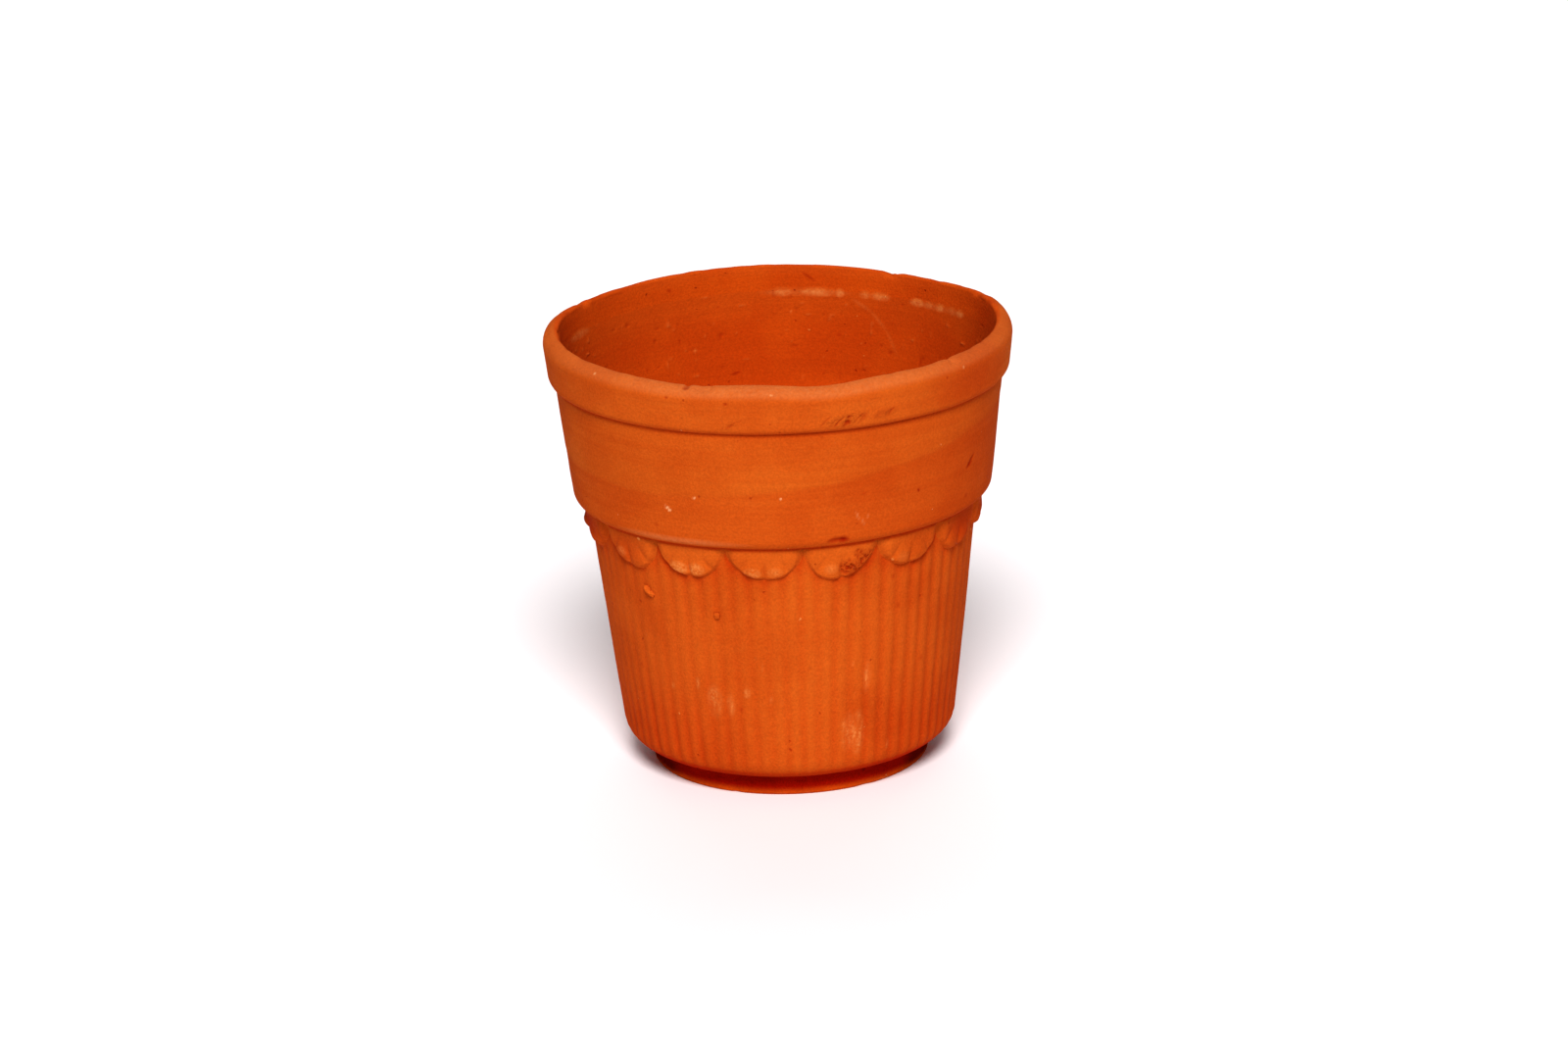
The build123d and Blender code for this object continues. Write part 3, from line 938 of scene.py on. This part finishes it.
collar = {
    "columns": 720,
    "edgeRound": 2.4,
    "tongue": 1.5,            # the lip's joint, in from the outside at the top
    "lute": 0.1,
    "spongeLine": 77.1,       # middle level of the edge where the sponged upper part ends
    "spongeSwing": 6.0,
    "spongeTurn": 0.66,       # radians from the front to where that edge is at its middle level
    "spongeStep": 0.08,
    "lowTone": 0.72,          # darker tone below that edge, above it, and at the right
    "highTone": 0.35,
    "rightTone": 0.45,
    # painted shade in the crease at the lower edge and under the band
    "creaseShade": 2.2,
    "grit": (0.84, 0.25),     # inside: share of the clay without it, height or depth
    "gritStain": 0.5,
    "gritPowder": 0.16,
    "paleAbove": (82, 9, 0.25),    # the inside's painted shade fades from this level, over this height, by this share
    "dents": (                # turn, height, half width, half height, push, tilt
        (59.3, 71.8, 2.6, 0.6, -0.4, 42), (21.3, 71.8, 0.9, 0.9, -0.14),
        (13.4, 61.1, 2.1, 1.1, -0.4, 6), (15.7, 61.0, 1.6, 1.2, -0.5, -8),
        (133, 76, 2.0, 0.7, -0.3, -25), (226, 66, 2.4, 0.8, -0.3, 15),
    ),
    "stains": (               # these and the next lists: the same with strength in place of push
        (59.3, 71.8, 2.4, 0.5, 0.75, 42), (58.6, 71.2, 1.6, 0.55, 1.0, 20),
        (13.4, 61.2, 2.0, 1.1, 0.7, 6), (15.7, 61.1, 1.6, 1.2, 1.0, -8),
        (38, 69.8, 0.6, 0.6, 0.4), (-36, 64.2, 0.7, 0.4, 0.5), (58, 64.2, 0.7, 0.7, 0.45),
        (21.3, 71.5, 0.7, 0.3, 0.3), (133, 76, 1.5, 0.5, 0.7, -25), (185, 70, 0.7, 0.6, 0.5),
    ),
    "powder": (
        (-32, 68.5, 0.7, 0.35, 0.9, -40), (-31.3, 68.0, 0.35, 0.6, 0.9, 10),
        (-23.6, 71.6, 0.4, 0.35, 0.8), (19.6, 66.6, 0.25, 1.3, 0.25, 24),
        (21.2, 65.0, 0.25, 1.0, 0.2, 24), (22.5, 66.2, 0.4, 0.4, 0.2),
        # first mark below: a painted highlight on the rounded lower edge, with dust
        (-30, 60.9, 18, 1.0, 0.14), (155, 64, 0.8, 0.5, 0.7), (240, 79, 0.6, 0.6, 0.7),
    ),
    "insidePowder": (
        (155.1, 88.8, 3.4, 0.5, 0.1, 28), (149.8, 85.8, 3.6, 0.5, 0.11, 42),
        (145.2, 81.5, 4.0, 0.5, 0.09, 57), (205, 80, 0.5, 0.5, 0.3), (176, 87, 0.4, 0.4, 0.3),
    ),
    "insideStains": (
        (193, 74, 1.4, 0.4, 0.7, -12), (162, 82, 0.7, 0.5, 0.4), (222, 78, 0.5, 0.5, 0.4),
    ),
    "look": lookWith(
        mottle={**clayLook["mottle"], "Body": (0.535, 0.107, 0.0115, 1), "Strength": 0.28},
        wheelTone=0.16, wheelHeight=0.5, grooveTone=0.28, powderColour=(0.85, 0.42, 0.2, 1), bump=0.45,
    ),
}


def makeCollar(material):
    lean, edge = math.radians(cup["collarLean"]), collar["edgeRound"]
    edgeEnd = shoulder + edge * (1 - math.sin(lean))
    edgeMiddle = (collarRadius(edgeEnd) - edge * math.cos(lean), shoulder + edge)
    outside = joinRuns(
        arcRun(edgeMiddle, edge, -90, -cup["collarLean"], 14),
        straightRun((collarRadius(edgeEnd), edgeEnd), (collarReach, bandSeat), 50),
    )
    lipJoint = collarReach - collar["tongue"]
    throatTop = wallTop + cup["throat"]
    half = cup["throat"] / 2
    high, low = (mouthRadius(throatTop), throatTop), (wallInside(wallTop), wallTop)
    inside = joinRuns(
        straightRun((mouthRadius(lipSeam), lipSeam), high, 52),
        bezierRun(high, (high[0] - half * slope(cup["mouthLean"]), throatTop - half),
                  (low[0] + half * slope(cup["wallLean"]), wallTop + half), low, 16),
    )
    wallJoint = shoulderReach - wall["tongue"] + collar["lute"]
    grid = turnedGrid([
        (outside, 1),
        (np.array([(lipJoint, bandSeat), (lipJoint, lipSeam)]), 0),
        (inside, -1),
        (np.array([(wallJoint, wallTop), (wallJoint, shoulder)]), 0),
    ], collar["columns"])
    turn, z, masks = grid["turn"], grid["z"], grid["masks"]
    outer, inner = grid["skin"] > 0, grid["skin"] < 0
    grid["push"] += claySwell(grid) * (grid["skin"] != 0)

    # The sponged part ends at a faint step that runs aslant, with a darker tone below it
    line = collar["spongeLine"] + collar["spongeSwing"] * np.sin(turn - collar["spongeTurn"])
    line = line + 0.3 * softNoise(turn, z * 0, 6, 5, 41)
    below = ease((line - z) / 1.2 + 0.5) * outer
    grid["push"] -= collar["spongeStep"] * below
    tone = collar["highTone"] * ease((z - line) / 11) * (1 - below) + collar["lowTone"] * below
    tone += collar["rightTone"] * ease(np.sin(turn) / 0.8)
    # Painted shade in the crease at the lower edge and under the band
    creases = ease((shoulder + 0.9 - z) / 0.8) + ease((z - bandSeat + 1.2) / 1.1)
    masks["groove"] = np.maximum(tone, collar["creaseShade"] * creases) * outer
    pressIn(grid, collar["dents"], outer)

    # Grains and pits inside
    smooth, gritHeight = collar["grit"]
    grit = softNoise(turn, z, 1.6, 1.2, 43) * inner
    grains = np.clip((grit - smooth) / 0.16, 0, 1)
    pits = np.clip((-grit - smooth) / 0.16, 0, 1)
    grid["push"] += gritHeight * grains - gritHeight * pits
    # The painted inside shade fades towards the top
    level, over, share = collar["paleAbove"]
    masks["inside"] *= 1 - share * ease((z - level) / over)
    masks["stain"] = collar["gritStain"] * pits
    masks["powder"] = collar["gritPowder"] * grains
    paintMarks(grid, "stain", collar["stains"], outer)
    paintMarks(grid, "powder", collar["powder"], outer)
    paintMarks(grid, "stain", collar["insideStains"], inner)
    paintMarks(grid, "powder", collar["insidePowder"], inner)
    paintRing(grid, inner)
    return turnedPiece("plainCollar", grid, ["collar"], material)


# Lip band

lip = {
    "columns": 1000,
    "edgeRound": 1.8,
    "outerRound": 2.8,
    "innerRound": 0.65,
    "nibble": 0.15,           # depth of the fine unevenness along the top
    "chips": (                # turn, height, half width, half height, push, tilt
        (-19, 96.6, 3.0, 0.9, -0.35), (47.5, 96.6, 1.6, 0.8, -0.3), (147, 96.8, 3.0, 1.2, -0.45),
        (112, 96.9, 1.8, 0.9, -0.4), (243, 96.8, 2.6, 1.0, -0.4), (-88, 95.9, 2.2, 1.2, -0.35),
        (-23.5, 96.9, 1.1, 0.8, -0.3),
    ),
    "dents": (
        (-11, 89.0, 6.5, 0.5, -0.14, 22), (-13, 93.7, 0.6, 0.5, -0.2), (-28, 94.5, 0.6, 0.5, -0.2),
        (118, 91, 2.4, 0.8, -0.25, 20), (230, 90, 3.0, 0.7, -0.25, -12),
    ),
    "rough": (                # this and the next lists: the same with strength in place of push
        (15.2, 89.1, 6.0, 2.0, 1.0, 8), (25.6, 89.4, 3.8, 1.2, 0.6, 8),
        (-11, 89.0, 5.5, 0.6, 0.4, 22),
    ),
    "roughDepth": 0.35,
    "stains": (
        (-13, 93.7, 0.5, 0.4, 0.7), (-28, 94.5, 0.5, 0.4, 0.6), (-23.5, 96.7, 0.9, 0.5, 0.6),
        (25.6, 89.4, 3.6, 1.0, 0.2, 8), (16.4, 89.7, 0.5, 0.5, 0.9), (16.5, 88.3, 0.5, 0.6, 0.8),
    ),
    "insideStains": ((171, 94.6, 2.2, 0.4, 0.6, 32), (211, 94, 0.7, 0.5, 0.6, 20)),
    "innerEdgeStain": 0.35,
    "powder": ((-51, 96, 0.4, 0.35, 0.6), (50, 95, 0.35, 0.4, 0.6), (-2, 95.6, 0.35, 0.3, 0.7)),
    "flashed": ((57, 91, 17, 8, 1.0), (-120, 91, 20, 8, 0.5)),    # redder from the flame
    "rubbedAndLit": 0.115,          # paler crest: clay rubbed by lips and hands, and a painted highlight
    "ring": (                 # pale line inside: turn and half width in degrees, strength
        (172, 14, 0.14), (178.3, 4, 0.26), (168.6, 7, 0.32), (162, 1.6, 0.32), (154.5, 2, 0.2),
        (149.7, 3.6, 0.28), (137.3, 3, 0.4), (130, 11, 0.12), (133.2, 2.2, 0.26), (128.5, 2.4, 0.32),
        (123, 2.2, 0.24), (119.3, 2.4, 0.32), (250, 8, 0.2),
    ),
    "ringRise": -0.3,         # its middle from the seam
    "ringHalf": 1.15,
    "look": lookWith(
        wheelSpacing=1.2, wheelTone=0.12, insideTint=(1.04, 0.76, 0.44, 1),
        powderColour=(0.84, 0.44, 0.2, 1), powderEdge={"Tooth Size": 0.8, "Bite": 0.8},
    ),
}


def paintRing(grid, where):
    # A pale line round the inside, in broken lengths across the seam of collar and lip
    perDegree = mouthRadius(lipSeam) * math.pi / 180
    level = lipSeam + lip["ringRise"]
    broken = 0.95 + 0.5 * softNoise(grid["turn"], grid["z"], 1.8, 0.8, 54)
    layer = grid["masks"]["powder"]
    for at, wide, strength in lip["ring"]:
        shape = hump(markReach(grid, at, level, wide * perDegree, lip["ringHalf"])) * where
        np.maximum(layer, strength * np.sqrt(shape) * broken, out=layer)


def makeLipBand(material):
    lean, edge = math.radians(cup["lipLean"]), lip["edgeRound"]
    outer, inner = lip["outerRound"], lip["innerRound"]
    crestRadius = lipReach - outer
    lipEnd = crest - outer * (1 + math.sin(lean))
    faceTop = crestRadius + outer * math.cos(lean)
    edgeEnd = bandSeat + edge * (1 - math.sin(lean))
    faceFoot = faceTop - (lipEnd - edgeEnd) * slope(cup["lipLean"])
    innerEnd = crestRadius - inner
    shown = joinRuns(
        arcRun((faceFoot - edge * math.cos(lean), bandSeat + edge), edge, -90, -cup["lipLean"], 12),
        straightRun((faceFoot, edgeEnd), (faceTop, lipEnd), 20),
        arcRun((crestRadius, crest - outer), outer, -cup["lipLean"], 90, 24),
        arcRun((crestRadius, crest - inner), inner, 90, 180, 12),
        straightRun((innerEnd, crest - inner), (mouthRadius(lipSeam), lipSeam), 16),
    )
    joint = collarReach - collar["tongue"] + collar["lute"]
    seam = np.array([(joint, lipSeam), (joint, bandSeat)])
    grid = turnedGrid([(shown, 1), (seam, 0)], lip["columns"])
    turn, z, masks = grid["turn"], grid["z"], grid["masks"]
    skin = grid["skin"] > 0
    inward = (grid["r"] < crestRadius) & skin
    outward = (grid["r"] >= crestRadius) & skin
    behind = ease(0.5 - np.cos(turn))
    # The inside's painted shade starts on the crest, further out at the back
    within = ease((crestRadius - 0.1 + 1.6 * behind - grid["r"]) / 0.8)
    masks["inside"] = within * skin * (z > lipSeam - 0.1)
    grid["push"] += claySwell(grid) * skin

    # Fine unevenness, chips and scraped places
    crumbly = softNoise(turn, z, 0.9, 0.55, 51)
    scratchy = softNoise(turn - 0.018 * (z - bandSeat), z, 0.55, 2.0, 53)
    nibbled = softNoise(turn, z, 3.2, 1.4, 52)
    top = ease((z - crest + 1.4) / 1.4) * skin
    grid["push"] -= lip["nibble"] * top * np.clip(nibbled, 0, 1)
    pressIn(grid, lip["chips"], skin, 1 + 0.5 * crumbly)
    scraped = []
    for at, level, wide, tall, strength, tilt in lip["rough"]:
        scraped.append((at, level, wide, tall, -lip["roughDepth"] * strength, tilt))
    pressIn(grid, scraped, outward, 0.4 + 0.6 * crumbly + 1.1 * scratchy)
    pressIn(grid, lip["dents"], outward)
    paintMarks(grid, "raw", lip["rough"], outward)
    torn = np.clip(scratchy + 0.3 * crumbly - 0.1, 0, 0.7)
    masks["stain"] = 1.5 * masks["raw"] * torn

    # Worn inner edge, paler crest with a painted highlight, painted shade on the band's lower edge,
    # and the marks
    worn = np.exp(-(((grid["r"] - innerEnd - 0.4) / 0.4) ** 2)) * top
    masks["stain"] += lip["innerEdgeStain"] * worn * np.clip(nibbled + 0.1, 0, 1)
    paintMarks(grid, "stain", lip["stains"], outward)
    # Rubbed, paler crest with a painted highlight, strongest at the front and less at the back and
    # sides
    masks["powder"] = lip["rubbedAndLit"] * ease((z - crest + 2.8) / 1.6) * (1 - 0.8 * behind) * skin
    masks["powder"] *= 1 - 0.6 * np.sin(turn) ** 2
    paintMarks(grid, "powder", lip["powder"], outward)
    paintMarks(grid, "stain", lip["insideStains"], inward)
    paintRing(grid, inward)
    # Painted shade on the band's lower rounded edge
    masks["groove"] = ease((bandSeat + 1.3 - z) / 1.3) * outward
    paintMarks(grid, "groove", lip["flashed"], outward)
    return turnedPiece("lipBand", grid, ["lip_band"], material)


makeFootRing()
makeFloorDisc()
print("foot and floor made")
wallClay = clayMaterial("wallClay", wall["look"])
makeFlutedWall(wallClay)
for order, node in enumerate(scallopNodes):
    makeScallop(node, order, wallClay)
makeCrumbs(wallClay)
print("fluted wall made, with", len(scallopNodes), "scallops")
makeCollar(clayMaterial("collarClay", collar["look"]))
makeLipBand(clayMaterial("lipClay", lip["look"]))
print("collar and lip made")


# Studio: floor, lights and camera

studio = {
    "floorSize": 8,
    "floorColour": (0.98, 0.93, 0.94, 1),
    "floorRoughness": 0.9,
    "keyPower": 3.65, "keySpread": 20, "keyHeight": 44, "keySide": 1,    # degrees, except the power
    "fillPower": 0.8, "fillSpread": 60, "fillHeight": 40, "fillSide": 180,    # from behind
    "roomLight": 0.17,
    "exposure": -0.2,
    "cameraPlace": (0.0, -1.0156, 0.3781), "pitchDown": 17.81, "roll": -1.91,
    "lens": 112.5, "sensor": 36.0,
}


def makeFloor():
    bpy.ops.mesh.primitive_plane_add(size=studio["floorSize"])
    floor = bpy.context.object
    floor.name = "studioFloor"
    material = bpy.data.materials.new("studioFloor")
    material.use_nodes = True
    shader = material.node_tree.nodes["Principled BSDF"]
    shader.inputs["Base Color"].default_value = studio["floorColour"]
    shader.inputs["Roughness"].default_value = studio["floorRoughness"]
    floor.data.materials.append(material)


def makeLights():
    # Far lamps, so that the whole floor is lit evenly
    for name in ("key", "fill"):
        light = bpy.data.lights.new(f"{name}Light", "SUN")
        light.energy = studio[f"{name}Power"]
        light.angle = math.radians(studio[f"{name}Spread"])
        lamp = bpy.data.objects.new(f"{name}Light", light)
        down, heading = 90 - studio[f"{name}Height"], studio[f"{name}Side"]
        lamp.rotation_euler = (math.radians(down), 0, math.radians(heading))
        bpy.context.scene.collection.objects.link(lamp)
    room = bpy.data.worlds.new("softRoom")
    room.use_nodes = True
    background = room.node_tree.nodes["Background"]
    background.inputs["Color"].default_value = (1, 1, 1, 1)
    background.inputs["Strength"].default_value = studio["roomLight"]
    bpy.context.scene.world = room


def makeCamera():
    pitch, roll = math.radians(studio["pitchDown"]), math.radians(studio["roll"])
    forward = Vector((0, math.cos(pitch), -math.sin(pitch)))
    right = Vector((1, 0, 0))
    up = right.cross(forward)
    sideways = math.cos(roll) * right + math.sin(roll) * up
    upright = math.cos(roll) * up - math.sin(roll) * right
    data = bpy.data.cameras.new("photoCamera")
    data.lens = studio["lens"]
    data.sensor_width = studio["sensor"]
    camera = bpy.data.objects.new("photoCamera", data)
    facing = Matrix((sideways, upright, -forward)).transposed().to_4x4()
    facing.translation = studio["cameraPlace"]
    camera.matrix_world = facing
    bpy.context.scene.collection.objects.link(camera)
    bpy.context.scene.camera = camera


makeFloor()
makeLights()
makeCamera()
colours = bpy.context.scene.view_settings
colours.view_transform = "Standard"
colours.look = "Medium High Contrast"
colours.exposure = studio["exposure"]
print("studio made")
